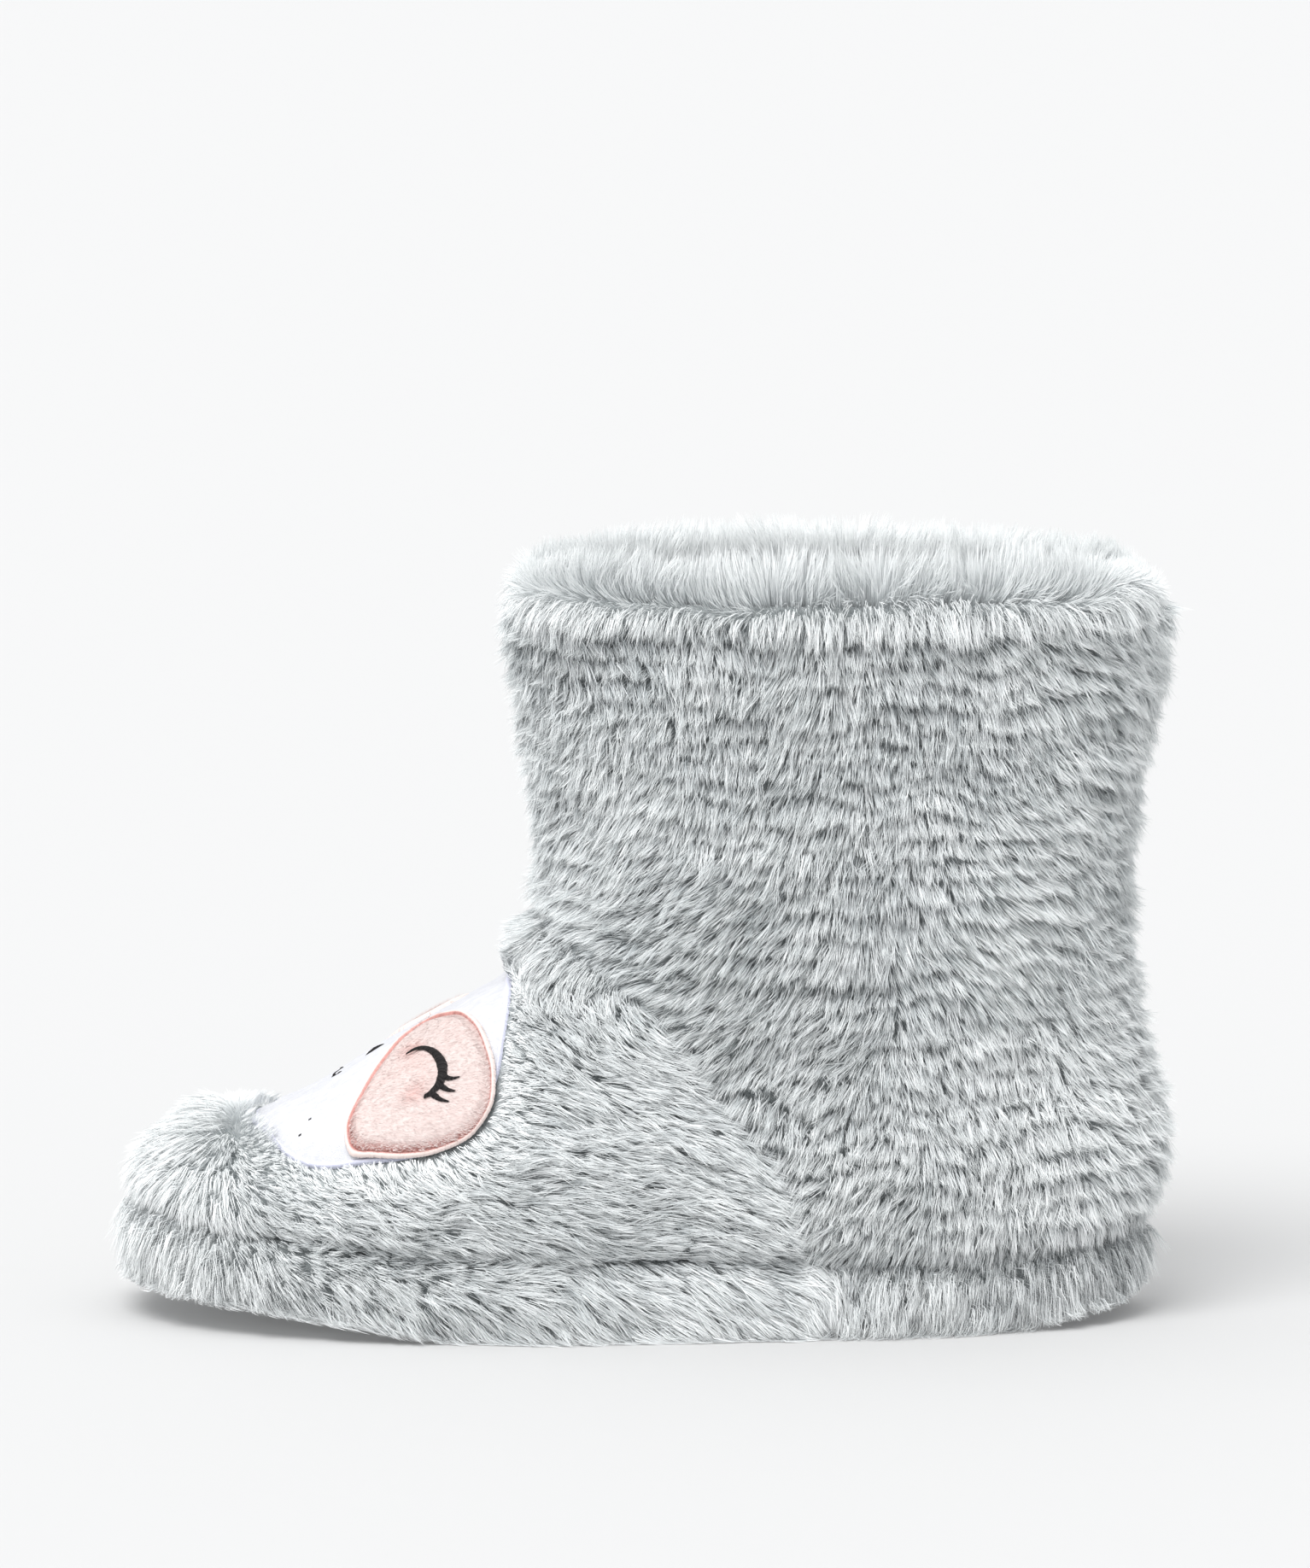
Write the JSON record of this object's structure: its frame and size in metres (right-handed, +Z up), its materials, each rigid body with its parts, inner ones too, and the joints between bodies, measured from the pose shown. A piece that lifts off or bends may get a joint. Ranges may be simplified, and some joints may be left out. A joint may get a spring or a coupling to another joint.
{
  "type": "bootie slipper",
  "caption": "Furry pull-on bootie slipper for a child's left foot, ankle high, with a flat soft sole and a sleeping animal face on the vamp.",
  "frame": {"origin": "on the floor, under the middle of the shoe's length and width", "axes": "+X to the toe, +Y to the outer side of the foot, +Z up"},
  "size_m": [0.2253, 0.0978, 0.1622],
  "materials": {
    "outsole": "matt soft sheet, pale grey",
    "fur": "deep faux fur, cool light grey, paler tips",
    "insole": "short fleece",
    "face_panel": "smooth short white plush",
    "eye_patch": "short pink plush with a satin-stitched edge"
  },
  "bodies": {
    "root": {"outsole": "outsole", "midsole_wrap": "fur", "insole": "insole", "vamp": "fur", "shaft": "fur", "collar_facing": "fur", "face_panel": "face_panel", "eye_patch_outer": "eye_patch", "eye_patch_inner": "eye_patch"}
  },
  "joints": []
}
